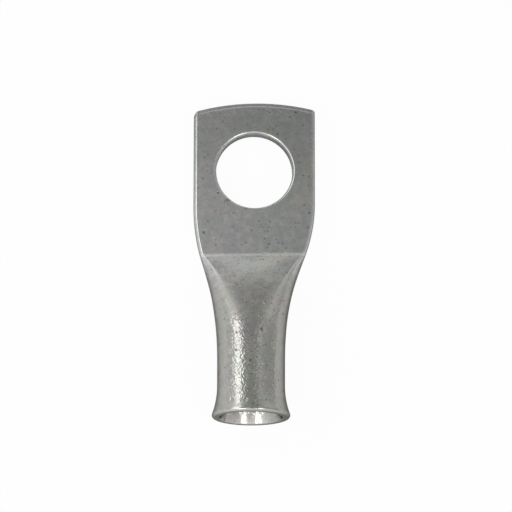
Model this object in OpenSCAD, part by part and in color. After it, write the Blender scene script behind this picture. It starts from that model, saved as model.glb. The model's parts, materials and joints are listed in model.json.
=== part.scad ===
// Tube cable lug with a flared mouth, pressed from one length of tinned copper tube.
// The frame: origin at the centre of the stud hole on the contact face, +Z out of the
// stepped face, +Y towards the palm's tip, -Y towards the mouth.

/* [Barrel] */
// Outside diameter of the round barrel
barrel_d = 9.2; // [8:0.05:12]
// Diameter of the bore that takes the conductor
bore_d = 7.0; // [5:0.05:7.6]
// Length of barrel that stays fully round, between the flare and the neck
barrel_l = 3.2; // [2:0.1:20]
// How far the barrel's axis lies aside of the palm's middle line
barrel_aside = -0.5; // [-1:0.05:1]

/* [Flared mouth] */
// Outside diameter across the mouth
mouth_d = 10.75; // [10:0.05:14]
// Length of the flare
flare_l = 4.4; // [2:0.1:8]
// Rounding of the rim's outer edge
rim_r = 0.4; // [0.1:0.05:0.5]

/* [Neck] */
// Length over which the round tube is pressed down to the palm's step line
neck_l = 16; // [10:0.1:25]
// Length of the ramp in front, from the step line to the barrel's full height
ramp_l = 11.8; // [8:0.1:18]
// How far past the step line the palm's sides keep widening
shoulder_l = 6.9; // [3:0.1:7.5]
// Length of solid metal between the step line and the end of the hollow
closed_l = 1.0; // [0.5:0.1:3]
// Length of bore that is still round past the start of the neck
bore_reach = 2.0; // [0.5:0.1:4]

/* [Palm] */
// Width of the palm
palm_w = 16.7; // [14:0.1:22]
// Thickness of the palm, two layers of tube wall
palm_t = 1.9; // [1.6:0.05:2.6]
// Length of the palm from the step line to the tip
palm_l = 21.6; // [19:0.1:30]
// Distance from the centre of the stud hole to the tip
stud_to_tip = 9.9; // [8.8:0.1:14]
// Diameter of the stud hole
stud_d = 10.5; // [6.4:0.1:10.8]
// Radius of the sheared arc at the tip
tip_r = 27.5; // [15:0.5:80]

/* [Press marks] */
// Length of the bevel on the front face, from its line to the tip
bevel_l = 2.15; // [1:0.05:2.5]
// Slope of the bevel
bevel_angle = 27; // [10:1:30]
// Width of the rear layer's lip at the tip
lip_l = 0.6; // [0.3:0.05:1]
// Step from the front layer down to the lip
lip_step = 0.08; // [0.04:0.01:0.2]
// How far the press line and the tip are off square
press_skew = 1.4; // [-3:0.1:3]
// Softening of the crease at the step line
crease_r = 0.3; // [0.1:0.05:1]
// Height of the seam line between the two layers
seam_h = 0.1; // [0.06:0.01:0.2]
// Depth of the seam line in the hole's wall
seam_depth = 0.2; // [0.1:0.05:0.4]
// Edge drawn in round the stud hole where the punch enters
hole_break = 0.12; // [0.05:0.01:0.3]

/* [Hidden] */

tin = "#a3a39d";
barrel_r = barrel_d / 2;
bore_r = bore_d / 2;
wall = barrel_r - bore_r;
stud_r = stud_d / 2;
tip_y = stud_to_tip;
step_y = tip_y - palm_l;
neck_end_y = step_y - neck_l;
flare_y = neck_end_y - barrel_l;
mouth_y = flare_y - flare_l;
bevel_y = tip_y - bevel_l;

// The flare is an arc of the tube's wall, tangent to the barrel.
flare_growth = mouth_d / 2 - barrel_r;
flare_r = (flare_l * flare_l + flare_growth * flare_growth) / (2 * flare_growth);

// The loft is left this much too thick where the flat dies trim it to true planes.
bite = 0.03;
// The upper die stops this far short of the step line, the lower one this share of the neck.
step_gap = 0.05;
untrimmed_share = 0.2;
// Where two bodies join, the inner one ends this much inside the outer one.
tuck = 0.01;
overlap = 0.2;
past = 1;

ring_points = 48;
shoulder_rings = 6;
neck_rings = 20;
hollow_points = 40;
hollow_rings = 10;
// Above 1, the neck's rings crowd towards the step line.
ring_spread = 1.3;
// Height of the hollow where it ends between the two layers.
slit_h = 0.15;
// How much the ramp bows, and how soft its knee is where it meets the barrel.
ramp_power = 1.35;
knee = 0.04;
// How fast the two sides run out into the round barrel.
width_power = 2.18;
// Share of the neck where each side turns from the shoulder to the tail.
turn_share = 0.06;
// Share of the neck by which the sections have all moved aside to the barrel's axis.
aside_share = 0.7;
$fn = 128;

function mix(a, b, t) = a + (b - a) * t;
function sq(v) = v * v;

// Every law below runs on s, the distance from the step line towards the mouth.
function to_y(s) = step_y - s;

// 1 on the flat palm, falling to 0 where the tube is round again.
function flatness(s) = s <= 0 ? 1 : max(0, 1 - s / neck_l);

// Height of the front surface: the palm, a soft crease, a bowed ramp, then a soft knee.
function ramp(s) = s <= 0 ? 0 : sqrt(sq(s) + sq(crease_r)) - crease_r;
function before_knee(s) =
    let (left = 1 - ramp(s) / ramp_l) left + sqrt(sq(left) + sq(knee)) - before_knee_end;
before_knee_end =
    let (left = 1 - ramp(neck_l) / ramp_l) left + sqrt(sq(left) + sq(knee));
function front_z(s) =
    mix(barrel_d, palm_t, pow(max(0, before_knee(s) / before_knee(0)), ramp_power));

// Half width: a convex shoulder, then a concave tail of the same slope where they meet.
turn_s = turn_share * neck_l;
tail_l = neck_l - turn_s;
shoulder_share = width_power * (shoulder_l + turn_s) / (2 * tail_l);
tail_drop = (palm_w / 2 - barrel_r) / (1 + shoulder_share);
shoulder_drop = tail_drop * shoulder_share;
function half_w(s) =
    s <= -shoulder_l ? palm_w / 2 :
    s < turn_s ? palm_w / 2 - shoulder_drop * sq((s + shoulder_l) / (shoulder_l + turn_s)) :
    barrel_r + tail_drop * pow(max(0, 1 - (s - turn_s) / tail_l), width_power);

// Middle of the section: on the palm's middle line, then over to the barrel's axis.
aside_l = shoulder_l + aside_share * neck_l;
function soft(t) = t * t * (3 - 2 * t);
function aside(s) = barrel_aside * soft(min(1, max(0, (s + shoulder_l) / aside_l)));

// One quarter of a folded section: a round fold for half the turn, then the flat.
function quarter_fold(u, w, r) =
    u <= 0.5 ? [w - r + r * cos(u * 180), r * sin(u * 180)]
             : [(w - r) * (2 - 2 * u), r];
function folded(a, w, r) =
    let (x_sign = (a > 90 && a < 270) ? -1 : 1, z_sign = a > 180 ? -1 : 1)
    let (b = a % 180, u = (b > 90 ? 180 - b : b) / 90, p = quarter_fold(u, w, r))
    [x_sign * p.x, z_sign * p.y];

// Half width w, half height r, k = 0 for a round section and 1 for a folded one.
function section_point(a, w, r, k) =
    mix([w * cos(a), r * sin(a)], folded(a, w, r), k);

function ring(count, x, y, w, z_low, z_high, k, skew) =
    [for (i = [0:count - 1])
        let (p = [x, 0] + section_point(360 * i / count, w, (z_high - z_low) / 2, k))
        [p.x, y + p.x * tan(skew), (z_low + z_high) / 2 + p.y]];

// A closed skin through equal rings that follow each other towards -Y.
module skin(rings) {
    count = len(rings[0]);
    last = (len(rings) - 1) * count;
    near_cap = [for (i = [0:count - 1]) i];
    far_cap = [for (i = [count - 1:-1:0]) last + i];
    walls = [
        for (j = [0:len(rings) - 2], i = [0:count - 1])
            let (a = j * count, b = a + count, n = (i + 1) % count)
            [a + n, a + i, b + i, b + n]
    ];
    polyhedron(
        points = [for (r = rings) each r],
        faces = concat([near_cap], walls, [far_cap])
    );
}

function outer_ring(s, y, w) =
    ring(ring_points, aside(s), y, w, -bite * flatness(s), front_z(s) + (s <= 0 ? bite : 0),
         flatness(s), press_skew * flatness(s));

// The flattened tube: palm, shoulders and neck, a little too thick and too long.
module flattened_tube() {
    shoulders = [for (i = [0:shoulder_rings]) -shoulder_l * (1 - i / shoulder_rings)];
    necks = [for (i = [1:neck_rings - 1]) neck_l * pow(i / neck_rings, ring_spread)];
    skin(concat(
        [outer_ring(-palm_l, tip_y + past, palm_w / 2)],
        [for (s = concat(shoulders, necks)) outer_ring(s, to_y(s), half_w(s))],
        [for (s = [neck_l, neck_l + overlap])
            ring(ring_points, barrel_aside, to_y(s), barrel_r - tuck, tuck, barrel_d - tuck, 0, 0)]
    ));
}

// The hollow inside the neck, from a slit between the two layers to the round bore.
module neck_hollow() {
    slit_w = half_w(closed_l) - palm_t / 2;
    reach = neck_l - bore_reach - closed_l;
    round_r = bore_r - tuck;
    axis_z = barrel_r;
    slit_z = palm_t / 2 + (front_z(closed_l) - palm_t) / 2;
    skin(concat(
        [for (i = [0:hollow_rings])
            let (t = i / hollow_rings, left = sq(1 - t))
            let (r = mix(round_r, slit_h / 2, left), z = mix(axis_z, slit_z, left))
            let (s = closed_l + reach * t)
            ring(hollow_points, aside(s), to_y(s), mix(round_r, slit_w, left),
                 z - r, z + r, 1 - t, press_skew * (1 - t))],
        [ring(hollow_points, barrel_aside, to_y(neck_l - bore_reach) - overlap, round_r,
              axis_z - round_r, axis_z + round_r, 0, 0)]
    ));
}

// Turns a half profile (x = radius, y = along the barrel from the mouth) round its axis.
module along_barrel() {
    translate([barrel_aside, mouth_y, barrel_r]) rotate([-90, 0, 0])
        rotate_extrude() children();
}

// Half profile of what lies between the axis and the flare's arc of the given radius.
module flare_profile(straight_r, arc_r, length) {
    square([straight_r, length]);
    difference() {
        square([mouth_d, flare_l]);
        translate([barrel_r + flare_r, flare_l]) circle(r = arc_r);
    }
}

// The sharp corner that is taken off the rim.
module rim_corner() {
    difference() {
        translate([mouth_d / 2 - rim_r, -past]) square([past, rim_r + past]);
        translate([mouth_d / 2 - rim_r, rim_r]) circle(r = rim_r);
        translate([mouth_d / 2 - rim_r - past, rim_r]) square([past + rim_r, past]);
    }
}

module barrel() {
    along_barrel() difference() {
        flare_profile(barrel_r, flare_r, flare_l + barrel_l);
        rim_corner();
    }
}

module barrel_bore() {
    along_barrel() flare_profile(bore_r, flare_r + wall, flare_l + barrel_l + bore_reach);
}

// Everything that the skewed press leaves is turned by the skew about a point on the axis.
module pressed(y) {
    translate([0, y, 0]) rotate([0, 0, press_skew]) translate([0, -y, 0]) children();
}

// What the flat dies press away: the film below the contact face and above the palm.
module die_trim() {
    under_y = neck_end_y + untrimmed_share * neck_l;
    translate([-palm_w, under_y, -past]) cube([2 * palm_w, tip_y + 2 * past - under_y, past]);
    pressed(step_y)
        translate([-palm_w, step_y + step_gap, palm_t])
            cube([2 * palm_w, palm_l + 2 * past, past]);
}

module tip_arc(r) {
    translate([0, tip_y - tip_r, -past]) cylinder(r = r, h = palm_t + 2 * past);
}

// What the shear takes off past the arc of the tip.
module tip_waste() {
    pressed(0) difference() {
        translate([-palm_w, bevel_y, -past / 2]) cube([2 * palm_w, palm_w, palm_t + past]);
        tip_arc(tip_r);
    }
}

// The wedge above the bevel, whose line runs straight across the front face.
module bevel_wedge(drop) {
    run = bevel_l + 2 * past;
    translate([-palm_w, bevel_y, palm_t - drop]) rotate([90, 0, 90])
        linear_extrude(2 * palm_w)
            polygon([[0, 0], [run, -run * tan(bevel_angle)], [run, palm_t], [0, palm_t]]);
}

// The front layer ends at a step, and the rear layer's lip goes on to the arc.
module tip_bevel() {
    pressed(0) {
        bevel_wedge(0);
        difference() {
            bevel_wedge(lip_step);
            tip_arc(tip_r - lip_l);
        }
    }
}

// The hole, punched from the front, with the seam line that shows in its wall.
module stud_hole() {
    translate([0, 0, -past]) cylinder(r = stud_r, h = palm_t + 2 * past);
    translate([0, 0, palm_t / 2 - seam_h / 2]) cylinder(r = stud_r + seam_depth, h = seam_h);
    translate([0, 0, palm_t - hole_break])
        cylinder(r1 = stud_r, r2 = stud_r + hole_break + past, h = hole_break + past);
}

module cable_lug() {
    color(tin) difference() {
        union() {
            flattened_tube();
            barrel();
        }
        barrel_bore();
        neck_hollow();
        die_trim();
        tip_waste();
        tip_bevel();
        stud_hole();
    }
}

cable_lug();
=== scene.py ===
# %% [markdown]
# # A tinned copper cable lug
#
# The lug is one length of copper tube. A press has flattened one end into a flat palm with
# two layers, a punch has cut the hole for the stud, and the other end is flared so that the
# strands of the cable slip in. Last of all it was tin plated and tumbled with its brothers,
# which is why it is grey, bright in places and covered in tiny marks.
#
# We keep every size from the packed CAD model, so this cell loads it before anything else.

import json
import math

import bmesh
import bpy
import numpy as np
from mathutils import Matrix, Vector


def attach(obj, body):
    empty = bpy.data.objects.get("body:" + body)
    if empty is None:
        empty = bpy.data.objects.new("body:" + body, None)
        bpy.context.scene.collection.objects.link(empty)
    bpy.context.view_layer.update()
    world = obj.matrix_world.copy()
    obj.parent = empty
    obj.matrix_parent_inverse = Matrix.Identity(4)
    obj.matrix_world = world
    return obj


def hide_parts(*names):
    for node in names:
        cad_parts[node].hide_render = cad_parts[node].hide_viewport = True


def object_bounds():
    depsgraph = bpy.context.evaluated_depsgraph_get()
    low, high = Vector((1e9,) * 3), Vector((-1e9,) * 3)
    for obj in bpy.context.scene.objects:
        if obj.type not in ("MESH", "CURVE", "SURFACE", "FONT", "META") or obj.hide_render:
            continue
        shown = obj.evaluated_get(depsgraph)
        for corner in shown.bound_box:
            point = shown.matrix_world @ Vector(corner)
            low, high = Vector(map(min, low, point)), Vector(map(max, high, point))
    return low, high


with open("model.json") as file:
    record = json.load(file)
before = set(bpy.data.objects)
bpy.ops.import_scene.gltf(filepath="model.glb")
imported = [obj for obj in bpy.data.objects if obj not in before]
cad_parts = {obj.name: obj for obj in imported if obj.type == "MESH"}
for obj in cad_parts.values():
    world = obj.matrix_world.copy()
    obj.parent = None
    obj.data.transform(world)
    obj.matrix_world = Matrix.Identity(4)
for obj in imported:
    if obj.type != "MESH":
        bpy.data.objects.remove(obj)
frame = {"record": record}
cad_low, cad_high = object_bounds()
print("CAD box, mm:", [round(1000 * v, 2) for v in (*cad_low, *cad_high)])

# %% [markdown]
# ## Sizes
#
# The mounts in the record say where the holes are and how wide. The few sizes that no mount
# states are written here once, in millimetres times MM, because Blender works in metres.

# %% Sizes of the lug
MM = 0.001
record = frame["record"]
mounts = {m["name"]: m for m in record["mounts"]}

stud_r = mounts["stud_hole"]["dims"]["r_mm"] * MM
bore_r = mounts["barrel_bore"]["dims"]["r_mm"] * MM
bore_l = mounts["barrel_bore"]["dims"]["length_mm"] * MM
axis_x, bore_y, axis_z = mounts["barrel_bore"]["pos_m"]
palm_t = mounts["nut_face"]["pos_m"][2]
palm_w = cad_high.x - cad_low.x
mouth_y = cad_low.y
widest_r = cad_high.z - axis_z

barrel_r = axis_z
wall = barrel_r - bore_r
flare_y = bore_y - bore_l / 2
bore_end_y = bore_y + bore_l / 2
print("stud hole radius, bore radius and wall, mm:",
      [round(v / MM, 2) for v in (stud_r, bore_r, wall)])

# %% Sizes that no mount states
# Along the lug, y is 0 at the stud hole's middle and grows towards the tip.
tip_y = 9.9 * MM
palm_l = 21.6 * MM          # from the tip to the step line
step_y = tip_y - palm_l
neck_l = 16 * MM            # from the step line to the round barrel
ramp_l = 11.8 * MM          # from the step line to the front's full height
shoulder_l = 6.9 * MM       # how far before the step line the sides start to draw in
closed_l = 1.0 * MM         # how far past the step line the two layers still touch
slit_h = 0.1 * MM
crease_r = 0.06 * MM

# The tip: its arc, the bevel across it, its two corners and the lip of the rear layer.
tip_r = 27.5 * MM
bevel_y = tip_y - 2.15 * MM
bevel_slope = math.tan(math.radians(27))
left_corner_r = 0.7 * MM
right_corner_r = 0.2 * MM
lip_l = 0.6 * MM
lip_step = 0.08 * MM
press_skew = math.tan(math.radians(1.4))

# Rounded edges: the sheared end, then the mouth's rim from outside and from inside.
edge_r = 0.15 * MM
rim_r = 0.4 * MM
inner_rim_r = 0.2 * MM
print("step line and start of the flare, mm:", [round(v / MM, 2) for v in (step_y, flare_y)])

# %% [markdown]
# ## Laws of the press
#
# Every cross-section of the lug can be told in a few numbers: how wide it is, how high, where
# its middle lies and how folded it is, from 0 for a round tube to 1 for a flat double layer.
# As the press closes, these numbers change smoothly along the lug. We write each one as a
# function of s, the distance from the step line towards the mouth.

# %% How flat the section is
SIDE_FOLD = 0.5 * MM


def mix(a, b, t):
    return a + (b - a) * t


def flatness(s):
    """1 on the palm, 0 where the tube is round again."""
    return 1.0 if s <= 0 else max(0.0, 1 - s / neck_l)


print("flatness half way down the neck:", flatness(neck_l / 2))

# %% How high the front is
RAMP_POWER = 1.3
KNEE = 0.04


def ramp(s):
    """Distance up the neck, with the crease at the step line rounded off."""
    return 0.0 if s <= 0 else math.hypot(s, crease_r) - crease_r


def before_knee(s):
    """How far the ramp still has to go, with its knee at the barrel rounded off."""
    left = 1 - ramp(s) / ramp_l
    return left + math.hypot(left, KNEE)


def front_z(s):
    """Height of the front surface above the contact face."""
    knee_end = before_knee(neck_l)
    left = max(0.0, (before_knee(s) - knee_end) / (before_knee(0) - knee_end))
    return mix(2 * barrel_r, palm_t, left ** RAMP_POWER)


print("front half way up the ramp, mm:", round(front_z(ramp_l / 2) / MM, 2))

# %% How wide it is
TURN_S = 0.06 * neck_l
TAIL_POWER = 2.18
tail_l = neck_l - TURN_S
shoulder_share = TAIL_POWER * (shoulder_l + TURN_S) / (2 * tail_l)
tail_drop = (palm_w / 2 - barrel_r) / (1 + shoulder_share)


def half_w(s):
    """Half the width: a convex shoulder that runs into a concave tail."""
    if s <= -shoulder_l:
        return palm_w / 2
    if s < TURN_S:
        part = (s + shoulder_l) / (shoulder_l + TURN_S)
        return palm_w / 2 - tail_drop * shoulder_share * part ** 2
    return barrel_r + tail_drop * max(0.0, 1 - (s - TURN_S) / tail_l) ** TAIL_POWER


def fold_w(s):
    """Width of the fold at each side: tight on the palm, then half of a rounder section."""
    return mix(SIDE_FOLD, half_w(s), 1 - flatness(s))


print("half width at the step line, mm:", round(half_w(0) / MM, 2))

# %% How far the barrel stands aside
ASIDE_END = 0.7 * neck_l


def aside(s):
    """The tube lay a little off the middle of the press, so the barrel stands aside."""
    t = min(1.0, max(0.0, (s + shoulder_l) / (shoulder_l + ASIDE_END)))
    return axis_x * t * t * (3 - 2 * t)


print("barrel aside at the end of the neck, mm:", round(aside(neck_l) / MM, 2))

# %% [markdown]
# ## Stations
#
# A station is one cross-section. We walk along the outside from the tip to the mouth, round
# the rim and back inside to the slit where the two layers meet. The walk takes small steps
# where the shape turns quickly, such as the crease, and long steps where it is plain.

# %% One station, and a walk over many
CROWD_FROM = 0.85
CROWDED_SHARE = 0.42


def station(y, width, low, high, fold, side_fold, x=0.0):
    """One section: its middle, half width, half height, how folded, fold's width and share."""
    fold_arc = side_fold * math.pi / 2
    even_share = fold_arc / max(fold_arc + width - side_fold, 1e-9)
    crowd = max(0.0, (fold - CROWD_FROM) / (1 - CROWD_FROM)) ** 2
    share = mix(even_share, CROWDED_SHARE, crowd)
    return (x, y, (high + low) / 2, width, (high - low) / 2, fold, side_fold, share)


def walk(start, stop, marks, steps):
    """Places from start to stop, with the step size told at some marks on the way."""
    places = [start]
    while places[-1] < stop:
        places.append(places[-1] + float(np.interp(places[-1], marks, steps)))
    scale = (stop - start) / (places[-1] - start)
    return [start + (p - start) * scale for p in places]


print("numbers in one station:", len(station(0.0, palm_w / 2, 0.0, palm_t, 1.0, SIDE_FOLD)))

# %% Stations over the tip
END_FACE_SHARES = (0.0, 0.45, 0.9)
EDGE_STEPS = 5


def tip_stations():
    """The sheared end face, then its small rounded edge."""
    rows = []
    full = palm_t / 2
    flat_w = palm_w / 2 - SIDE_FOLD
    for t in END_FACE_SHARES:
        height = t * (full - edge_r)
        fold = SIDE_FOLD * height / full
        rows.append(station(tip_y, flat_w + fold, full - height, full + height, 1.0, fold))
    for i in range(EDGE_STEPS + 1):
        a = math.radians(90 * i / EDGE_STEPS)
        less = edge_r * (1 - math.sin(a))
        y = tip_y - edge_r * (1 - math.cos(a))
        rows.append(station(y, palm_w / 2 - less, less, palm_t - less, 1.0, SIDE_FOLD - less))
    return rows


print("stations over the tip:", len(tip_stations()))

# %% Stations of the palm, shoulders and neck
BODY_START = -palm_l + edge_r
BODY_MARKS = [BODY_START, -palm_l + 2.6 * MM, -palm_l + 3.4 * MM, -1 * MM, -0.2 * MM,
              0.5 * MM, 3 * MM, ramp_l - 1 * MM, ramp_l, ramp_l + 1 * MM, neck_l]
BODY_STEPS = [0.09 * MM, 0.09 * MM, 0.3 * MM, 0.3 * MM, 0.04 * MM,
              0.04 * MM, 0.16 * MM, 0.2 * MM, 0.08 * MM, 0.2 * MM, 0.3 * MM]


def body_stations():
    """Palm, shoulders and neck: small steps at the bevel, the crease and the knee."""
    rows = []
    for s in walk(BODY_START, neck_l, BODY_MARKS, BODY_STEPS)[1:]:
        rows.append(station(step_y - s, half_w(s), 0.0, front_z(s), flatness(s), fold_w(s),
                            aside(s)))
    return rows


print("stations from palm to barrel:", len(body_stations()))

# %% The flare's arc
RIM_FITS = 6
flare_l = flare_y - mouth_y
flare_growth = widest_r - barrel_r
for _ in range(RIM_FITS):
    # The rounded rim is a little narrower than the flare's own end, so the flare opens more.
    flare_r = (flare_l ** 2 + flare_growth ** 2) / (2 * flare_growth)
    outer_lean = math.asin((flare_l - rim_r) / (flare_r + rim_r))
    outer_at = barrel_r + flare_r - (flare_r + rim_r) * math.cos(outer_lean)
    flare_growth += widest_r - (outer_at + rim_r)
inner_r = flare_r + wall
inner_lean = math.asin((flare_l - inner_rim_r) / (inner_r - inner_rim_r))
inner_at = barrel_r + flare_r - (inner_r - inner_rim_r) * math.cos(inner_lean)


def flare_radius(y, arc_r):
    """Radius of the flared wall's outer or inner face at y."""
    return barrel_r + flare_r - math.sqrt(arc_r ** 2 - max(0.0, flare_y - y) ** 2)


print("radius of the flare's arc, mm:", round(flare_r / MM, 1))

# %% Stations of the barrel and its rim
BARREL_PLACES = 37
OUTER_RIM_STEPS = 10
INNER_RIM_STEPS = 7
outer_end_y = mouth_y + rim_r * (1 + math.sin(outer_lean))
inner_end_y = mouth_y + inner_rim_r * (1 - math.sin(inner_lean))


def round_station(y, r):
    return station(y, r, axis_z - r, axis_z + r, 0.0, r, axis_x)


def barrel_stations():
    """The round barrel and its flare, outside."""
    places = np.linspace(step_y - neck_l, outer_end_y, BARREL_PLACES)[1:-1]
    return [round_station(y, flare_radius(y, flare_r)) for y in places]


def rim_arc(at, r, start, stop, count):
    """Stations over a rounded edge whose middle lies at radius at."""
    turns = [mix(start, stop, i / (count - 1)) for i in range(count)]
    return [round_station(mouth_y + r * (1 + math.sin(a)), at + r * math.cos(a)) for a in turns]


def rim_stations():
    """The rounded rim, from the outer face over the end to the inner face."""
    end_face = [round_station(mouth_y, mix(outer_at, inner_at, t)) for t in (0.33, 0.67)]
    quarter = math.pi / 2
    return (rim_arc(outer_at, rim_r, outer_lean, -quarter, OUTER_RIM_STEPS) + end_face
            + rim_arc(inner_at, inner_rim_r, -quarter, -2 * quarter + inner_lean,
                      INNER_RIM_STEPS))


print("stations of barrel and rim:", len(barrel_stations()), len(rim_stations()))

# %% Stations of the hollow
BORE_PLACES = 30
CLOSING_STEPS = 40


def hollow_stations():
    """The flare and bore from inside, then the hollow closing to a slit."""
    rows = [round_station(y, flare_radius(y, inner_r))
            for y in np.linspace(inner_end_y, bore_end_y, BORE_PLACES)[1:]]
    slit_w = half_w(closed_l) - palm_t / 2
    slit_z = front_z(closed_l) / 2
    end_y = step_y - closed_l
    for i in range(1, CLOSING_STEPS + 1):
        t = 1 - i / CLOSING_STEPS
        left = (1 - t) ** 2
        r = mix(bore_r, slit_h / 2, left)
        z = mix(axis_z, slit_z, left)
        y = mix(end_y, bore_end_y, t)
        rows.append(station(y, mix(bore_r, slit_w, left), z - r, z + r, 1 - t, r,
                            aside(step_y - y)))
    x, y, z, width = rows[-1][:4]
    rows.append(station(y, width, z, z, 1.0, 0.0, x))
    return rows


skin = tip_stations() + body_stations() + barrel_stations() + rim_stations() + hollow_stations()
print("stations on the skin:", len(skin))

# %% [markdown]
# ## Geometry Nodes: a loft through stations
#
# Geometry Nodes suit a piece whose shape follows a rule. Each station becomes one point that
# carries its numbers as attributes. The tree makes a grid with one row for each station, reads
# that row's numbers and bends the row into a section: a mix of a round tube and a folded one.
# The same tree later makes the punch, because a punch is a stack of round sections too.

# %% One helper for every node
def add_node(tree, kind, inputs=None, **settings):
    """Adds a node with its settings. An input is a value, a socket, or a node's first output."""
    made = tree.nodes.new(kind)
    for name, value in settings.items():
        setattr(made, name, value)
    for name, value in (inputs or {}).items():
        if isinstance(value, bpy.types.Node):
            value = value.outputs[0]
        if isinstance(value, bpy.types.NodeSocket):
            tree.links.new(value, made.inputs[name])
        else:
            made.inputs[name].default_value = value
    return made


print("add_node:", add_node.__doc__)


# %% The loft tree and its named inputs
STATION_ATTRIBUTES = ("half_w", "half_h", "fold", "fold_w", "share")
LOFT_INPUTS = (("Geometry", "NodeSocketGeometry"), ("Columns", "NodeSocketInt"),
               ("Material", "NodeSocketMaterial"))

loft = bpy.data.node_groups.new("loft through stations", "GeometryNodeTree")
for name, socket_type in LOFT_INPUTS:
    loft.interface.new_socket(name, in_out="INPUT", socket_type=socket_type)
loft.interface.new_socket("Geometry", in_out="OUTPUT", socket_type="NodeSocketGeometry")
given = add_node(loft, "NodeGroupInput").outputs
print("inputs of the loft:", [name for name, _ in LOFT_INPUTS])

# %% A grid with one row for each station
# Grid vertices run row by row inside each column.
size = add_node(loft, "GeometryNodeAttributeDomainSize", {0: given["Geometry"]})
edge = add_node(loft, "ShaderNodeMath", {0: given["Columns"], 1: 1.0}, operation="ADD")
grid = add_node(loft, "GeometryNodeMeshGrid", {"Vertices X": edge, "Vertices Y": size})
index = add_node(loft, "GeometryNodeInputIndex")
row = add_node(loft, "ShaderNodeMath", {0: index, 1: size}, operation="MODULO")
share = add_node(loft, "ShaderNodeMath", {0: index, 1: size}, operation="DIVIDE")
column = add_node(loft, "ShaderNodeMath", {0: share}, operation="FLOOR")
turn = add_node(loft, "ShaderNodeMath", {0: column, 1: given["Columns"]}, operation="DIVIDE")
print("nodes so far:", len(loft.nodes))

# %% The numbers of this row's station
told = {}
for name in STATION_ATTRIBUTES:
    attribute = add_node(loft, "GeometryNodeInputNamedAttribute", {"Name": name})
    told[name] = add_node(loft, "GeometryNodeSampleIndex",
                          {"Geometry": given["Geometry"], "Value": attribute, "Index": row})
here = add_node(loft, "GeometryNodeSampleIndex", data_type="FLOAT_VECTOR")
loft.links.new(given["Geometry"], here.inputs["Geometry"])
loft.links.new(add_node(loft, "GeometryNodeInputPosition").outputs[0], here.inputs["Value"])
loft.links.new(row.outputs[0], here.inputs["Index"])
print("each row is told:", list(told))

# %% The round section
angle = add_node(loft, "ShaderNodeMath", {0: turn, 1: 2 * math.pi}, operation="MULTIPLY")
cosine = add_node(loft, "ShaderNodeMath", {0: angle}, operation="COSINE")
sine = add_node(loft, "ShaderNodeMath", {0: angle}, operation="SINE")
round_x = add_node(loft, "ShaderNodeMath", {0: cosine, 1: told["half_w"]}, operation="MULTIPLY")
round_z = add_node(loft, "ShaderNodeMath", {0: sine, 1: told["half_h"]}, operation="MULTIPLY")
print("nodes so far:", len(loft.nodes))

# %% The folded section
# In each quarter first comes a round fold, then the flat up to the middle.
quarters = add_node(loft, "ShaderNodeMath", {0: turn, 1: 4.0}, operation="MULTIPLY")
quarter = add_node(loft, "ShaderNodeMath", {0: quarters, 1: 1.0}, operation="PINGPONG")
bend = add_node(loft, "ShaderNodeMapRange",
                {"Value": quarter, "From Max": told["share"], "To Max": math.pi / 2})
along = add_node(loft, "ShaderNodeMapRange",
                 {"Value": quarter, "From Min": told["share"], "To Min": 1.0, "To Max": 0.0})
flat = add_node(loft, "ShaderNodeMath", {0: told["half_w"], 1: told["fold_w"]},
                operation="SUBTRACT")
flat_x = add_node(loft, "ShaderNodeMath", {0: flat, 1: along}, operation="MULTIPLY")
bend_cos = add_node(loft, "ShaderNodeMath", {0: bend}, operation="COSINE")
bend_sin = add_node(loft, "ShaderNodeMath", {0: bend}, operation="SINE")
fold_x = add_node(loft, "ShaderNodeMath", {0: bend_cos, 1: told["fold_w"], 2: flat_x},
                  operation="MULTIPLY_ADD")
fold_z = add_node(loft, "ShaderNodeMath", {0: bend_sin, 1: told["half_h"]}, operation="MULTIPLY")
side_x = add_node(loft, "ShaderNodeMath", {0: cosine}, operation="SIGN")
side_z = add_node(loft, "ShaderNodeMath", {0: sine}, operation="SIGN")
folded_x = add_node(loft, "ShaderNodeMath", {0: fold_x, 1: side_x}, operation="MULTIPLY")
folded_z = add_node(loft, "ShaderNodeMath", {0: fold_z, 1: side_z}, operation="MULTIPLY")
print("nodes so far:", len(loft.nodes))

# %% Mix the two sections and close the skin
MERGE_WITHIN = 0.001 * MM
x = add_node(loft, "ShaderNodeMix", {"Factor": told["fold"], "A": round_x, "B": folded_x})
z = add_node(loft, "ShaderNodeMix", {"Factor": told["fold"], "A": round_z, "B": folded_z})
section = add_node(loft, "ShaderNodeCombineXYZ", {"X": x, "Z": z})
place = add_node(loft, "ShaderNodeVectorMath", {0: section, 1: here}, operation="ADD")
bent = add_node(loft, "GeometryNodeSetPosition", {"Geometry": grid, "Position": place})
closed = add_node(loft, "GeometryNodeMergeByDistance",
                  {"Geometry": bent, "Distance": MERGE_WITHIN})
real = add_node(loft, "GeometryNodeRealizeInstances", {"Geometry": closed})
coated = add_node(loft, "GeometryNodeSetMaterial",
                  {"Geometry": real, "Material": given["Material"]})
add_node(loft, "NodeGroupOutput", {"Geometry": coated})
print("nodes in the loft:", len(loft.nodes))

# %% Run the loft
LUG_COLUMNS = 256
SLIVER = 0.0005 * MM


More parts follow.
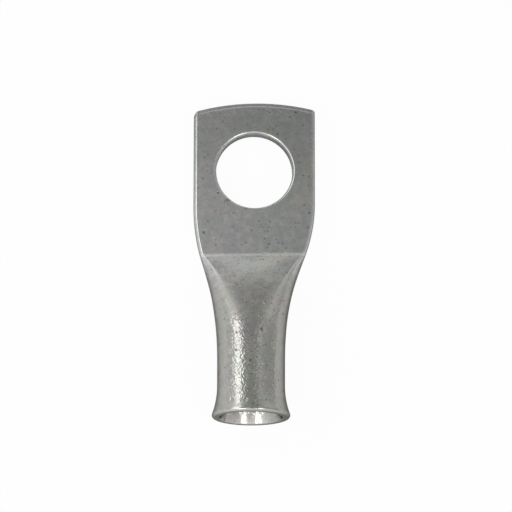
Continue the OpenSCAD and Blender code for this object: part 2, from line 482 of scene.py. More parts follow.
def lofted(name, rows, columns, material=None):
    """A closed plain mesh through the stations, with its faces pointing outwards."""
    points = bpy.data.meshes.new(name + "_stations")
    points.from_pydata([row[:3] for row in rows], [], [])
    for slot, attribute in enumerate(STATION_ATTRIBUTES, 3):
        values = points.attributes.new(attribute, "FLOAT", "POINT")
        values.data.foreach_set("value", [row[slot] for row in rows])
    carrier = bpy.data.objects.new(name + "_stations", points)
    bpy.context.scene.collection.objects.link(carrier)
    modifier = carrier.modifiers.new("loft", "NODES")
    modifier.node_group = loft
    settings = {"Columns": columns, "Material": material}
    for item in loft.interface.items_tree:
        if item.in_out == "INPUT" and item.name in settings:
            modifier[item.identifier] = settings[item.name]
    evaluated = carrier.evaluated_get(bpy.context.evaluated_depsgraph_get())
    mesh = bpy.data.meshes.new_from_object(evaluated)
    mesh.name = name
    bpy.data.objects.remove(carrier)
    work = bmesh.new()
    work.from_mesh(mesh)
    bmesh.ops.dissolve_degenerate(work, dist=SLIVER, edges=work.edges)
    bmesh.ops.recalc_face_normals(work, faces=work.faces)
    open_edges = sum(not e.is_manifold for e in work.edges)
    work.to_mesh(mesh)
    work.free()
    print(name, "vertices:", len(mesh.vertices), "open edges:", open_edges)
    return mesh


lug_mesh = lofted("cable_lug_skin", skin, LUG_COLUMNS)

# %% [markdown]
# ## Press marks
#
# The loft is square and plain. The real press sat a little askew, cut the tip to a shallow arc
# and squeezed a bevel across the front, where the front layer ends in a small step and the
# rear layer goes on as a lip. These are small moves of the vertices, so plain numpy is the
# clearest way: one function for each mark.

# %% Helpers that move vertices
def read_points(mesh):
    flat = np.empty(3 * len(mesh.vertices))
    mesh.vertices.foreach_get("co", flat)
    return flat.reshape(-1, 3)


def write_points(mesh, points):
    mesh.vertices.foreach_set("co", points.ravel())
    mesh.update()


def smooth_step(value, low, high):
    t = np.clip((value - low) / (high - low), 0, 1)
    return t * t * (3 - 2 * t)


def soft_positive(value, softness):
    """The value where it is positive, else 0, with the corner rounded off."""
    return (value + np.sqrt(value ** 2 + softness ** 2)) / 2


points = read_points(lug_mesh)
print("vertices to move:", len(points))

# %% Pinch the sides of the neck
DOME_PEAK = 2 * MM
DOME_END = 7 * MM
DOME = 0.6


def lower_sides(points):
    """The dies pinch the sides low at the start of the neck, so its section is a dome."""
    s = step_y - points[:, 1]
    on_neck = (s > 0) & (s < DOME_END)
    pinch = smooth_step(s, 0, DOME_PEAK) * (1 - smooth_step(s, DOME_PEAK, DOME_END))
    high = np.array([front_z(v) for v in s[on_neck]])
    share = np.clip(points[on_neck, 2] / high, 1e-6, 1)
    points[on_neck, 2] = high * share ** (1 + DOME * pinch[on_neck])


before = points.copy()
lower_sides(points)
print("sides lowered by up to, mm:", round(float((before - points)[:, 2].max()) / MM, 2))

# %% Shear the tip to an arc and squeeze its bevel
BEVEL_SOFTNESS = 0.06 * MM
LIP_EDGE = 0.07 * MM
BEVEL_REACH = 1 * MM


def arc_tip(points):
    """Draws the rows past the bevel line out to the sheared arc."""
    arc = np.sqrt(tip_r ** 2 - points[:, 0] ** 2) + tip_y - tip_r
    past = np.clip((points[:, 1] - bevel_y) / (tip_y - bevel_y), 0, None)
    points[:, 1] += past * (arc - tip_y)


def squeeze_bevel(points):
    """Thins the palm past the bevel line and steps the front layer down to the lip."""
    depth = bevel_slope * soft_positive(points[:, 1] - bevel_y, BEVEL_SOFTNESS)
    from_middle = np.hypot(points[:, 0], points[:, 1] - (tip_y - tip_r))
    depth += lip_step * smooth_step(from_middle, tip_r - lip_l, tip_r - lip_l + LIP_EDGE)
    on_palm = points[:, 1] > bevel_y - BEVEL_REACH
    points[on_palm, 2] *= 1 - depth[on_palm] / palm_t


arc_tip(points)
squeeze_bevel(points)
lip_z = points[points[:, 1] > tip_y - lip_l, 2].max()
print("thickness left on the lip, mm:", round(float(lip_z) / MM, 2))

# %% Round the corners and lean the palm
CORNER_REACH = 2.5


def round_corners(points):
    """Rounds the tip's two corners: the left one is worn more."""
    for side, corner_r in ((-1, left_corner_r), (1, right_corner_r)):
        x = points[:, 0] * side
        arc_y = np.sqrt(tip_r ** 2 - points[:, 0] ** 2) + tip_y - tip_r
        u = np.clip((x - (palm_w / 2 - corner_r)) / corner_r, 0, 1)
        near = points[:, 1] > bevel_y
        lower = corner_r * (1 - np.sqrt(1 - u ** 2)) * near
        reach = CORNER_REACH * corner_r
        share = np.clip((points[:, 1] - (arc_y - reach)) / reach, 0, 1)
        points[:, 1] -= lower * share ** 2


def skew_press(points):
    """Leans the palm's rows by the skew, fading out along the neck."""
    flat = np.clip(1 - (step_y - points[:, 1]) / neck_l, 0, 1)
    points[:, 1] += points[:, 0] * press_skew * flat


round_corners(points)
skew_press(points)
points = np.clip(points, cad_low, cad_high)
write_points(lug_mesh, points)
print("tip at, mm:", round(points[:, 1].max() / MM, 3))

# %% [markdown]
# ## The stud hole
#
# The punch is a stack of round sections: straight where it cuts, a little wider where it drew
# the front edge in, and with a thin ridge that leaves the seam line of the two layers in the
# hole's wall. A Boolean modifier then does what the punch did.

# %% The punch
PUNCH_COLUMNS = 288
PUNCH_PAST = 1 * MM
DRAW_TURN = math.radians(80)
DRAW_STEPS = 8
FLARE_OUT = 1.4 * MM
FLARE_UP = 0.2 * MM
seam_h = 0.07 * MM
seam_d = 0.14 * MM
draw_r = 0.42 * MM
burr_r = 0.08 * MM


def punch_rows():
    """(height, radius) from under the palm to above it."""
    rows = [(-PUNCH_PAST, 0.0), (-PUNCH_PAST, stud_r + PUNCH_PAST), (0.0, stud_r + burr_r)]
    rows += [(burr_r, stud_r)]
    middle = palm_t / 2
    rows += [(middle - seam_h / 2, stud_r), (middle, stud_r + seam_d),
             (middle + seam_h / 2, stud_r)]
    for i in range(DRAW_STEPS + 1):
        a = DRAW_TURN * i / DRAW_STEPS
        rows.append((palm_t - draw_r * (1 - math.sin(a) / math.sin(DRAW_TURN)),
                     stud_r + draw_r * (1 - math.cos(a))))
    last_z, last_r = rows[-1]
    rows += [(last_z + FLARE_UP, last_r + FLARE_OUT), (last_z + PUNCH_PAST, last_r + FLARE_OUT)]
    rows += [(last_z + PUNCH_PAST, 0.0)]
    return rows


punch_sections = [station(z, r, -r, r, 0.0, r) for z, r in punch_rows()]
punch_mesh = lofted("punch", punch_sections, PUNCH_COLUMNS)
punch_mesh.transform(Matrix.Rotation(math.radians(90), 4, "X"))
punch = bpy.data.objects.new("punch", punch_mesh)
bpy.context.scene.collection.objects.link(punch)

# %% Punch the hole
blank = bpy.data.objects.new("blank", lug_mesh)
bpy.context.scene.collection.objects.link(blank)
cut = blank.modifiers.new("punch", "BOOLEAN")
cut.operation = "DIFFERENCE"
cut.solver = "EXACT"
cut.object = punch
lug_mesh = bpy.data.meshes.new_from_object(
    blank.evaluated_get(bpy.context.evaluated_depsgraph_get()))
lug_mesh.name = "lug_body"
bpy.data.objects.remove(blank)
bpy.data.objects.remove(punch)
print("after the punch, faces:", len(lug_mesh.polygons))

# %% [markdown]
# ## Tumbled tin plate
#
# Tin plate over copper is a soft white metal. Fresh from the bath it is bright, but the lugs
# are tumbled together, so the plate is covered in fine pits, nicks and hair scratches, and it
# reflects a lamp as a broken, sparkling band. One metal shader does all this: its colour, its
# roughness and its bump each read masks, and every mask is laid out in the lug's own
# millimetres, so the marks stay where they are when the part is turned.

# %% Material helpers
def linear(hex_colour):
    """sRGB hex to the linear colour that Blender wants."""
    parts = [int(hex_colour[i:i + 2], 16) / 255 for i in (1, 3, 5)]
    return [c / 12.92 if c <= 0.04045 else ((c + 0.055) / 1.055) ** 2.4 for c in parts] + [1.0]


def new_material(name):
    material = bpy.data.materials.new(name)
    material.use_nodes = True
    material.node_tree.nodes.clear()
    return material, material.node_tree


print("mid grey in linear light:", round(linear("#808080")[0], 3))

# %% [markdown]
# ### Places on the plate
#
# Plating is never even. Stains drift over a few millimetres, the tumbling leaves a mottle just
# under a millimetre, and the grain of the plate is drawn a third of one across. The real grain
# is finer: it is drawn this coarse so that it shows. Three noises with those sizes are
# all we need, and the mottle also makes ragged the borders of the barrel's rough patch and of
# the tones along and across the lug.

# %% Places on the plate
CLOUD = 4.5 * MM
MOTTLE = 0.75 * MM
GRAIN = 0.3 * MM
RAGGED = 1.0 * MM

tin, tree = new_material("tumbled tin plate on copper")
place = add_node(tree, "ShaderNodeTexCoord").outputs["Object"]
here = add_node(tree, "ShaderNodeSeparateXYZ", {"Vector": place}).outputs
cloud = add_node(tree, "ShaderNodeTexNoise",
                 {"Vector": place, "Scale": 1 / CLOUD, "Detail": 3.0, "Roughness": 0.55})
mottle = add_node(tree, "ShaderNodeTexNoise",
                  {"Vector": place, "Scale": 1 / MOTTLE, "Detail": 2.0})
grain = add_node(tree, "ShaderNodeTexNoise", {"Vector": place, "Scale": 1 / GRAIN, "Detail": 1.0})
ragged = add_node(tree, "ShaderNodeMapRange",
                  {"Value": mottle, "To Min": -RAGGED, "To Max": RAGGED})
print("sizes of the three noises, mm:", [round(v / MM, 2) for v in (CLOUD, MOTTLE, GRAIN)])

# %% [markdown]
# ### The rough patch on the barrel
#
# The front of the barrel stands highest, so it takes the knocks of the other lugs and its
# plate is hammered into a coarse relief. The mask is a box on the barrel's front, made of
# three soft ramps, with ragged borders.

# %% The patch on the barrel that the tumbling left rough
PATCH_START = (-20.8 * MM, -22.2 * MM)
PATCH_END = (-34.2 * MM, -33.2 * MM)
PATCH_SIDE = (3.4 * MM, 2.6 * MM)

ragged_y = add_node(tree, "ShaderNodeMath", {0: here["Y"], 1: ragged}, operation="ADD")
ragged_x = add_node(tree, "ShaderNodeMath", {0: here["X"], 1: ragged}, operation="ADD")
from_axis = add_node(tree, "ShaderNodeMath", {0: ragged_x, 1: axis_x}, operation="SUBTRACT")
aside_axis = add_node(tree, "ShaderNodeMath", {0: from_axis}, operation="ABSOLUTE")
past_ramp = add_node(tree, "ShaderNodeMapRange",
                     {"Value": ragged_y, "From Min": PATCH_START[0], "From Max": PATCH_START[1]},
                     interpolation_type="SMOOTHSTEP")
before_rim = add_node(tree, "ShaderNodeMapRange",
                      {"Value": ragged_y, "From Min": PATCH_END[0], "From Max": PATCH_END[1]},
                      interpolation_type="SMOOTHSTEP")
in_front = add_node(tree, "ShaderNodeMapRange",
                    {"Value": aside_axis, "From Min": PATCH_SIDE[0], "From Max": PATCH_SIDE[1]},
                    interpolation_type="SMOOTHSTEP")
rough = add_node(tree, "ShaderNodeMath", {0: past_ramp, 1: before_rim}, operation="MULTIPLY")
rough = add_node(tree, "ShaderNodeMath", {0: rough, 1: in_front}, operation="MULTIPLY")
print("length of the rough patch, mm:", round((PATCH_START[1] - PATCH_END[1]) / MM, 1))

# %% [markdown]
# ### Pits and hair scratches
#
# A pit is a small round dent where the plate was knocked or never took. A Voronoi texture
# deals one point to each cell, and its random colour says whether that cell has a pit and how
# wide it is. Hair scratches are the level lines of a noise stretched along one direction.
# Pits and scratches keep to their own clusters, as they do on lugs that lay together.

# %% Pits
SMALLEST_PIT = 0.4


def pits(spacing, radius, share, where):
    """Round pits, one in some of the cells. 1 at the bottom of a pit, 0 outside."""
    cells = add_node(tree, "ShaderNodeTexVoronoi", {"Vector": place, "Scale": 1 / spacing})
    picked = add_node(tree, "ShaderNodeSeparateColor", {"Color": cells.outputs["Color"]}).outputs
    size = add_node(tree, "ShaderNodeMapRange",
                    {"Value": picked[1], "To Min": SMALLEST_PIT * radius / spacing,
                     "To Max": radius / spacing})
    inside = add_node(tree, "ShaderNodeMapRange",
                      {"Value": cells.outputs["Distance"], "From Min": size, "From Max": 0.0},
                      interpolation_type="SMOOTHSTEP")
    wanted = add_node(tree, "ShaderNodeMath", {0: where, 1: share}, operation="MULTIPLY")
    chosen = add_node(tree, "ShaderNodeMath", {0: picked[0], 1: wanted}, operation="LESS_THAN")
    return add_node(tree, "ShaderNodeMath", {0: inside, 1: chosen}, operation="MULTIPLY")


print("a pit is at least this share of its largest size:", SMALLEST_PIT)

# %% Hair scratches
def scratches(turn, spacing, length, thinness, where):
    """Hair lines at an angle: the level lines of a noise that is stretched along them."""
    stretched = add_node(tree, "ShaderNodeMapping",
                         {"Vector": place, "Rotation": (0.0, 0.0, math.radians(turn)),
                          "Scale": (spacing, length, spacing)}, vector_type="TEXTURE")
    field = add_node(tree, "ShaderNodeTexNoise",
                     {"Vector": stretched, "Scale": 1.0, "Detail": 1.0})
    off_level = add_node(tree, "ShaderNodeMath", {0: field, 1: 0.5}, operation="SUBTRACT")
    off_level = add_node(tree, "ShaderNodeMath", {0: off_level}, operation="ABSOLUTE")
    line = add_node(tree, "ShaderNodeMapRange",
                    {"Value": off_level, "From Min": thinness, "From Max": 0.0},
                    interpolation_type="SMOOTHSTEP")
    return add_node(tree, "ShaderNodeMath", {0: line, 1: where}, operation="MULTIPLY")


print("nodes before any pit or scratch:", len(tree.nodes))

# %% Where the pits and scratches lie
CLUSTER = 2.6 * MM

clusters = add_node(tree, "ShaderNodeTexNoise",
                    {"Vector": place, "Scale": 1 / CLUSTER, "Detail": 1.0})
in_cluster = add_node(tree, "ShaderNodeMapRange",
                      {"Value": clusters, "From Min": 0.38, "From Max": 0.55})
off_cluster = add_node(tree, "ShaderNodeMapRange",
                       {"Value": clusters, "From Min": 0.5, "From Max": 0.38})
big_pits = pits(1.4 * MM, 0.34 * MM, 0.9, in_cluster)
small_pits = pits(0.6 * MM, 0.24 * MM, 0.7, in_cluster)
# Painted glints: small bright spots, laid out like pits, that only raise the colour.
glint_spots = pits(1.1 * MM, 0.26 * MM, 0.45, off_cluster)
lines = add_node(tree, "ShaderNodeMath",
                 {0: scratches(35, 0.6 * MM, 9 * MM, 0.008, in_cluster),
                  1: scratches(-62, 0.7 * MM, 12 * MM, 0.007, off_cluster)}, operation="MAXIMUM")
print("nodes in the plate's material so far:", len(tree.nodes))

# %% [markdown]
# ### Colour of the plate
#
# Tin is a warm light grey that drifts a little between bluish and yellowish. Three tones are
# painted light and shade: the palm is painted lighter towards the step line, the neck and barrel
# are painted darker, and the left side, which faces the lamps, is painted lighter than the right.
# Each of these is a tone, a number that multiplies the tint.

# %% Tint of the plate
TINTS = ((0.3, "#b4b3b5"), (0.45, "#bab9b8"), (0.56, "#b3b7b4"), (0.72, "#bcbab4"))

tint = add_node(tree, "ShaderNodeValToRGB", {"Fac": cloud})
tint.color_ramp.interpolation = "EASE"
for at, hex_colour in TINTS:
    stop = tint.color_ramp.elements.new(at)
    stop.color = linear(hex_colour)
tint.color_ramp.elements.remove(tint.color_ramp.elements[0])
tint.color_ramp.elements.remove(tint.color_ramp.elements[-1])
print("stops in the tint:", len(tint.color_ramp.elements))

# %% Tones of painted light and shade along and across the lug
PALM_LIGHTEST = 1.3
NECK_PAINTED_SHADE = 0.76
SIDE_LIGHT_TONES = (1.12, 0.9)

# Painted light: the palm is painted lighter towards the step line.
palm_painted_light = add_node(tree, "ShaderNodeMapRange",
                     {"Value": ragged_y, "From Min": tip_y - 2 * MM, "From Max": step_y + 3 * MM,
                      "To Min": 1.0, "To Max": PALM_LIGHTEST}, interpolation_type="SMOOTHSTEP")
neck_share = add_node(tree, "ShaderNodeMapRange",
                      {"Value": ragged_y, "From Min": step_y - 1 * MM,
                       "From Max": step_y - 6 * MM},
                      interpolation_type="SMOOTHSTEP")
# Painted shade: the neck and barrel are painted darker than the palm.
neck_painted_shade = add_node(tree, "ShaderNodeMapRange",
                     {"Value": neck_share, "To Min": 1.0, "To Max": NECK_PAINTED_SHADE})
# Painted light: the left side, towards the lamps, is painted lighter than the right.
side_painted_light = add_node(tree, "ShaderNodeMapRange",
                     {"Value": ragged_x, "From Min": -palm_w / 2, "From Max": palm_w / 2,
                      "To Min": SIDE_LIGHT_TONES[0], "To Max": SIDE_LIGHT_TONES[1]})
tone = add_node(tree, "ShaderNodeMath", {0: palm_painted_light, 1: neck_painted_shade}, operation="MULTIPLY")
tone = add_node(tree, "ShaderNodeMath", {0: tone, 1: side_painted_light}, operation="MULTIPLY")
print("tone from palm to barrel:", PALM_LIGHTEST, "to", round(PALM_LIGHTEST * NECK_PAINTED_SHADE, 2))

# %% [markdown]
# ### The painted highlight at the crease
#
# A narrow line where the palm ends is painted bright: a painted highlight for the light that the
# step's edge catches. The line leans with the palm, so its mask first takes the skew out of y,
# and it lies on the front alone.

# %% Painted highlight at the crease
CREASE_UPPER = (0.12 * MM, 0.02 * MM)
CREASE_LOWER = (-0.55 * MM, -0.4 * MM)
FRONT_FROM = (1.5 * MM, 1.8 * MM)
CREASE_HIGHLIGHT_GAIN = 0.3

square_y = add_node(tree, "ShaderNodeMath", {0: here["X"], 1: -press_skew, 2: here["Y"]},
                    operation="MULTIPLY_ADD")
from_step = add_node(tree, "ShaderNodeMath", {0: square_y, 1: step_y}, operation="SUBTRACT")
above_crease = add_node(tree, "ShaderNodeMapRange",
                        {"Value": from_step, "From Min": CREASE_UPPER[0],
                         "From Max": CREASE_UPPER[1]}, interpolation_type="SMOOTHSTEP")
below_crease = add_node(tree, "ShaderNodeMapRange",
                        {"Value": from_step, "From Min": CREASE_LOWER[0],
                         "From Max": CREASE_LOWER[1]}, interpolation_type="SMOOTHSTEP")
on_front = add_node(tree, "ShaderNodeMapRange",
                    {"Value": here["Z"], "From Min": FRONT_FROM[0], "From Max": FRONT_FROM[1]})
# Painted highlight: a narrow line on the front at the crease is painted lighter.
crease = add_node(tree, "ShaderNodeMath", {0: above_crease, 1: below_crease}, operation="MULTIPLY")
crease = add_node(tree, "ShaderNodeMath", {0: crease, 1: on_front}, operation="MULTIPLY")
tone = add_node(tree, "ShaderNodeMath", {0: crease, 1: CREASE_HIGHLIGHT_GAIN, 2: tone},
                operation="MULTIPLY_ADD")
print("width of the burnished line, mm:", round((CREASE_UPPER[1] - CREASE_LOWER[1]) / MM, 2))

# %% [markdown]
# ### Flecks, darkened pits and painted glints
#
# The pits are painted darker. Scattered small spots are painted bright: painted glints of the
# lamps on the plate. The barrel's plate has yellowed a trace more than the palm's.

# %% Flecks, darkened pits, painted glints and the finished colour
BIG_PIT_DARKENING = 0.72
SMALL_PIT_DARKENING = 0.55
GLINT_GAIN = 0.7
PLAIN = (1.0, 1.0, 1.0, 1.0)
YELLOWED = (1.02, 1.0, 0.96, 1.0)

fleck = add_node(tree, "ShaderNodeMapRange", {"Value": mottle, "From Min": 0.3, "From Max": 0.7,
                                              "To Min": 0.92, "To Max": 1.06})
speck = add_node(tree, "ShaderNodeMapRange", {"Value": grain, "From Min": 0.25, "From Max": 0.75,
                                              "To Min": 0.95, "To Max": 1.05})
tone = add_node(tree, "ShaderNodeMath", {0: tone, 1: fleck}, operation="MULTIPLY")
tone = add_node(tree, "ShaderNodeMath", {0: tone, 1: speck}, operation="MULTIPLY")
# The pits are painted darker in the colour.
pit_darkening = add_node(tree, "ShaderNodeMath", {0: big_pits, 1: BIG_PIT_DARKENING}, operation="MULTIPLY")
pit_darkening = add_node(tree, "ShaderNodeMath", {0: small_pits, 1: SMALL_PIT_DARKENING, 2: pit_darkening},
                 operation="MULTIPLY_ADD")
pit_tone = add_node(tree, "ShaderNodeMath", {0: 1.0, 1: pit_darkening}, operation="SUBTRACT")
tone = add_node(tree, "ShaderNodeMath", {0: tone, 1: pit_tone}, operation="MULTIPLY")
# Painted glints raise the tone in their spots.
bright = add_node(tree, "ShaderNodeMath", {0: glint_spots, 1: GLINT_GAIN, 2: tone},
                  operation="MULTIPLY_ADD")
# Sockets 0, 6, 7 and output 2 are the factor, the two colours and the result of a colour mix.
warm = add_node(tree, "ShaderNodeMix", {0: neck_share, 6: PLAIN, 7: YELLOWED}, data_type="RGBA")
tint = add_node(tree, "ShaderNodeVectorMath", {0: tint, 1: warm.outputs[2]}, operation="MULTIPLY")
colour = add_node(tree, "ShaderNodeVectorMath", {"Vector": tint, "Scale": bright},
                  operation="SCALE")
print("nodes in the plate's material so far:", len(tree.nodes))

# %% [markdown]
# ### Gloss and relief
#
# Bright tin is fairly smooth, so its roughness is about 0.2. The bump is in millimetres, as
# its distance is one millimetre: the grain is nearly flat on the palm and deep on the rough
# patch of the barrel, which is what breaks the highlight there into sparks.

# %% Gloss of the plate
DULL = (0.18, 0.26)
PATCH_GLOSS = -0.06

dull = add_node(tree, "ShaderNodeMapRange", {"Value": mottle, "From Min": 0.3, "From Max": 0.7,
                                             "To Min": DULL[0], "To Max": DULL[1]})
gloss = add_node(tree, "ShaderNodeMath", {0: rough, 1: PATCH_GLOSS, 2: dull},
                 operation="MULTIPLY_ADD")
print("roughness of the plate:", DULL)

# %% Relief of the plate
GRAIN_RELIEF = (0.004, 0.07)
MOTTLE_RELIEF = 0.01
BIG_PIT_DEPTH = -0.03
SMALL_PIT_DEPTH = -0.015
SCRATCH_DEPTH = -0.004

bumpy = add_node(tree, "ShaderNodeMapRange",
                 {"Value": rough, "To Min": GRAIN_RELIEF[0], "To Max": GRAIN_RELIEF[1]})
height = add_node(tree, "ShaderNodeMath", {0: grain, 1: bumpy}, operation="MULTIPLY")
for mask, relief_mm in ((mottle, MOTTLE_RELIEF), (big_pits, BIG_PIT_DEPTH),
                        (small_pits, SMALL_PIT_DEPTH), (lines, SCRATCH_DEPTH)):
    height = add_node(tree, "ShaderNodeMath", {0: mask, 1: relief_mm, 2: height},
                      operation="MULTIPLY_ADD")
relief = add_node(tree, "ShaderNodeBump", {"Height": height, "Strength": 1.0, "Distance": MM})
print("grain's relief on the palm and on the rough patch, mm:", GRAIN_RELIEF)

# %% The plate's shader
# A grey specular tint keeps a metal's grazing edges from turning white, so the plate's sides
# stay dark: painted shade that stands for the shaded floor beside the lug, which the sides
# reflect.
EDGE_SHADE_GREY = (0.3, 0.3, 0.3, 1.0)

add_node(tree, "ShaderNodeOutputMaterial", {"Surface": add_node(
    tree, "ShaderNodeBsdfPrincipled",
    {"Base Color": colour, "Metallic": 1.0, "Roughness": gloss, "Normal": relief,
     "Specular Tint": EDGE_SHADE_GREY})})
print("nodes in the plate's material:", len(tree.nodes))

# %% [markdown]
# ## Finish the lug
#
# The skin gets its plate and smooth shading. Where two faces meet at a sharp angle, as at the
# hole's edge, the edge is marked sharp, so the light breaks there as it does on cut metal.
# The finished piece then stands for the CAD lug and rides on its only body.

# %% Finish the lug
SHARP_FROM = math.radians(38)

lug_mesh.materials.clear()
lug_mesh.materials.append(tin)
lug = bpy.data.objects.new("lug_body", lug_mesh)
bpy.context.scene.collection.objects.link(lug)
lug_mesh.shade_smooth()
work = bmesh.new()
work.from_mesh(lug_mesh)
for edge in work.edges:
    edge.smooth = len(edge.link_faces) == 2 and edge.calc_face_angle() < SHARP_FROM
print("sharp edges:", sum(not edge.smooth for edge in work.edges))
work.to_mesh(lug_mesh)
work.free()
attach(lug, "root")
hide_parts("cable_lug")

# %% [markdown]
# ## The floor
#
# Small metal parts are shown on white paper. One large square under the lug is enough. The
# paper's colour is a plain pale grey for the light that it throws back, and what looks
# straight at it sees nearly white: Light Path tells the two apart, so the white background
# costs the lug no extra light.

# %% Floor
FLOOR_HALF = 1.5
PAPER = "#e6e6e6"
SEEN_WHITE = 0.96
MIRRORED_WHITE = 0.2

floor_mesh = bpy.data.meshes.new("floor")
floor_z = cad_low.z
floor_mesh.from_pydata([(-FLOOR_HALF, -FLOOR_HALF, floor_z), (FLOOR_HALF, -FLOOR_HALF, floor_z),
                        (FLOOR_HALF, FLOOR_HALF, floor_z), (-FLOOR_HALF, FLOOR_HALF, floor_z)],
                       [], [(0, 1, 2, 3)])
floor = bpy.data.objects.new("floor", floor_mesh)
bpy.context.scene.collection.objects.link(floor)
paper, tree = new_material("white paper sweep")
matte = add_node(tree, "ShaderNodeBsdfDiffuse", {"Color": linear(PAPER)})
glow = add_node(tree, "ShaderNodeEmission", {"Color": linear("#ffffff"), "Strength": 1.0})
path = add_node(tree, "ShaderNodeLightPath").outputs
glossy = add_node(tree, "ShaderNodeMath", {0: path["Is Glossy Ray"], 1: MIRRORED_WHITE},
                  operation="MULTIPLY")
seen = add_node(tree, "ShaderNodeMath", {0: path["Is Camera Ray"], 1: SEEN_WHITE, 2: glossy},
                operation="MULTIPLY_ADD")
paper_shader = add_node(tree, "ShaderNodeMixShader", {0: seen, 1: matte, 2: glow})
add_node(tree, "ShaderNodeOutputMaterial", {"Surface": paper_shader})
floor_mesh.materials.append(paper)
print("floor lies at, mm:", round(floor_z / MM, 2))

# %% [markdown]
# ## The room's light
#
# A metal shows the room it stands in. This room is pale all round, with a dim strip overhead
# that grows wider towards the zenith. The strip is what makes the flat palm a middle grey
# and gives the round barrel its darker middle. The world's shader works with the direction of
# each ray: x is across the lug, y runs along it and z is up.

# %% The dim strip overhead
STRIP_GROWTH = 0.42
STRIP_START = 0.1

world = bpy.data.worlds.new("room")
bpy.context.scene.world = world
world.use_nodes = True
tree = world.node_tree
tree.nodes.clear()
direction = add_node(tree, "ShaderNodeTexCoord").outputs["Generated"]
parts = add_node(tree, "ShaderNodeSeparateXYZ", {"Vector": direction}).outputs
half_strip = add_node(tree, "ShaderNodeMath", {0: parts["Z"], 1: STRIP_GROWTH, 2: STRIP_START},
                      operation="MULTIPLY_ADD")
off_strip = add_node(tree, "ShaderNodeMath", {0: parts["X"], 1: half_strip}, operation="DIVIDE")
left_edge = add_node(tree, "ShaderNodeMapRange",
                     {"Value": off_strip, "From Min": -1.3, "From Max": -0.7},
                     interpolation_type="SMOOTHSTEP")
right_edge = add_node(tree, "ShaderNodeMapRange",
                      {"Value": off_strip, "From Min": 2.0, "From Max": 0.8},
                      interpolation_type="SMOOTHSTEP")
lower_edge = add_node(tree, "ShaderNodeMapRange",
                      {"Value": parts["Z"], "From Min": 0.02, "From Max": 0.16},
                      interpolation_type="SMOOTHSTEP")
back_edge = add_node(tree, "ShaderNodeMapRange",
                     {"Value": parts["Y"], "From Min": -0.3, "From Max": 0.1},
                     interpolation_type="SMOOTHSTEP")
dim = add_node(tree, "ShaderNodeMath", {0: left_edge, 1: right_edge}, operation="MULTIPLY")
dim = add_node(tree, "ShaderNodeMath", {0: dim, 1: lower_edge}, operation="MULTIPLY")
dim = add_node(tree, "ShaderNodeMath", {0: dim, 1: back_edge}, operation="MULTIPLY")
print("half width of the strip at the zenith:", round(STRIP_GROWTH + STRIP_START, 2))

# %% The pale room round it
ROOM_RIGHT = 0.45
ROOM_LEFT = 0.7
PAST_TIP = 0.3
BEHIND_MOUTH = 0.45
STRIP_LEVEL = 0.38

from_right = add_node(tree, "ShaderNodeMapRange",
                      {"Value": parts["X"], "From Min": 0.9, "From Max": -0.9,
                       "To Min": ROOM_RIGHT, "To Max": ROOM_LEFT})
past_tip = add_node(tree, "ShaderNodeMapRange",
                    {"Value": parts["Y"], "From Min": 0.4, "From Max": 0.9, "To Max": PAST_TIP})
behind = add_node(tree, "ShaderNodeMapRange",
                  {"Value": parts["Y"], "From Min": 0.0, "From Max": -0.5,
                   "To Max": BEHIND_MOUTH})
bright = add_node(tree, "ShaderNodeMath", {0: past_tip, 1: behind}, operation="ADD")
bright = add_node(tree, "ShaderNodeMath", {0: bright, 1: from_right}, operation="ADD")
level = add_node(tree, "ShaderNodeMapRange",
                 {"Value": dim, "To Min": bright, "To Max": STRIP_LEVEL})
seen = add_node(tree, "ShaderNodeLightPath").outputs["Is Camera Ray"]
strength = add_node(tree, "ShaderNodeMapRange", {"Value": seen, "To Min": level, "To Max": 1.0})
room = add_node(tree, "ShaderNodeBackground", {"Color": linear("#ffffff"), "Strength": strength})
add_node(tree, "ShaderNodeOutputWorld", {"Surface": room})
print("light of the strip and of the room's two sides:", STRIP_LEVEL, ROOM_LEFT, ROOM_RIGHT)

# %% [markdown]
# ## The lamps
#
# Two soft tubes and a soft box give the bright bands down the neck and barrel, and two small
# lamps in front light the inside of the mouth. A lamp is told by the brightness of its face, so
# its band on the metal stays as bright when its size is changed.

# %% Lamps
LIT_POINT = Vector((0, -12 * MM, 4 * MM))


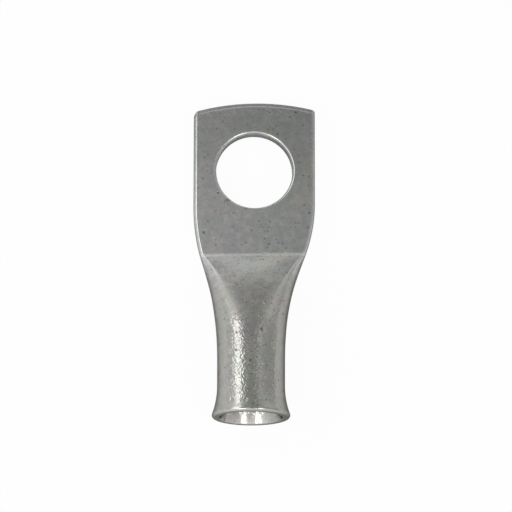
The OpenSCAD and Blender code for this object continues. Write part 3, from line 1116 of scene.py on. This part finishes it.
def lamp(name, towards, distance, width, length, radiance):
    """A rectangular lamp that lies in the direction towards from the neck and faces it."""
    data = bpy.data.lights.new(name, "AREA")
    data.shape = "RECTANGLE"
    data.size, data.size_y = width, length
    data.energy = radiance * math.pi * width * length
    made = bpy.data.objects.new(name, data)
    bpy.context.scene.collection.objects.link(made)
    away = Vector(towards).normalized()
    made.location = LIT_POINT + away * distance
    across = Vector((0, 1, 0)).cross(away).normalized()
    along = away.cross(across)
    made.rotation_euler = Matrix((across, along, away)).transposed().to_euler()
    made.visible_camera = False
    print(name, "gives, W:", round(data.energy, 3))
    return made


lamp("left soft box", (-0.74, 0.21, 0.64), 0.42, 0.18, 0.5, 0.7)
lamp("left tube", (-0.69, 0.21, 0.69), 0.40, 0.05, 0.4, 1.7)
lamp("right tube", (0.45, 0.21, 0.86), 0.40, 0.025, 0.3, 1.0)
lamp("front left lamp", (-0.45, -0.50, 0.74), 0.4, 0.12, 0.14, 3.5)
lamp("front right lamp", (0.40, -0.50, 0.78), 0.4, 0.10, 0.14, 3.5)

# %% [markdown]
# ## The camera
#
# The lug is seen from its front, a little from the mouth's side, so that we look just inside
# the barrel. The lens is long, because a small part is shot from some way off.

# %% Camera
VIEW_W = 70.4 * MM
TILT = math.radians(13.7)
SIDE = math.radians(-1.9)
ROLL = math.radians(-0.1)
CAMERA_DISTANCE = 600 * MM
AIM_RIGHT_MM = 0.21
AIM_DOWN_MM = 11.76

back = Vector((math.sin(SIDE), -math.sin(TILT), math.cos(TILT))).normalized()
level_up = (Vector((0, 1, 0)) - back * back.y).normalized()
level_right = level_up.cross(back)
right = level_right * math.cos(ROLL) - level_up * math.sin(ROLL)
up = level_up * math.cos(ROLL) + level_right * math.sin(ROLL)
target = Vector((0, 0, palm_t)) + right * AIM_RIGHT_MM * MM - up * AIM_DOWN_MM * MM
camera_data = bpy.data.cameras.new("camera")
camera_data.lens = camera_data.sensor_width * CAMERA_DISTANCE / VIEW_W
camera = bpy.data.objects.new("camera", camera_data)
bpy.context.scene.collection.objects.link(camera)
turned = Matrix((right, up, back)).transposed().to_4x4()
camera.matrix_world = Matrix.Translation(target + back * CAMERA_DISTANCE) @ turned
bpy.context.scene.camera = camera
bpy.context.scene.view_settings.view_transform = "Standard"
print("lens, mm:", round(camera_data.lens, 1))
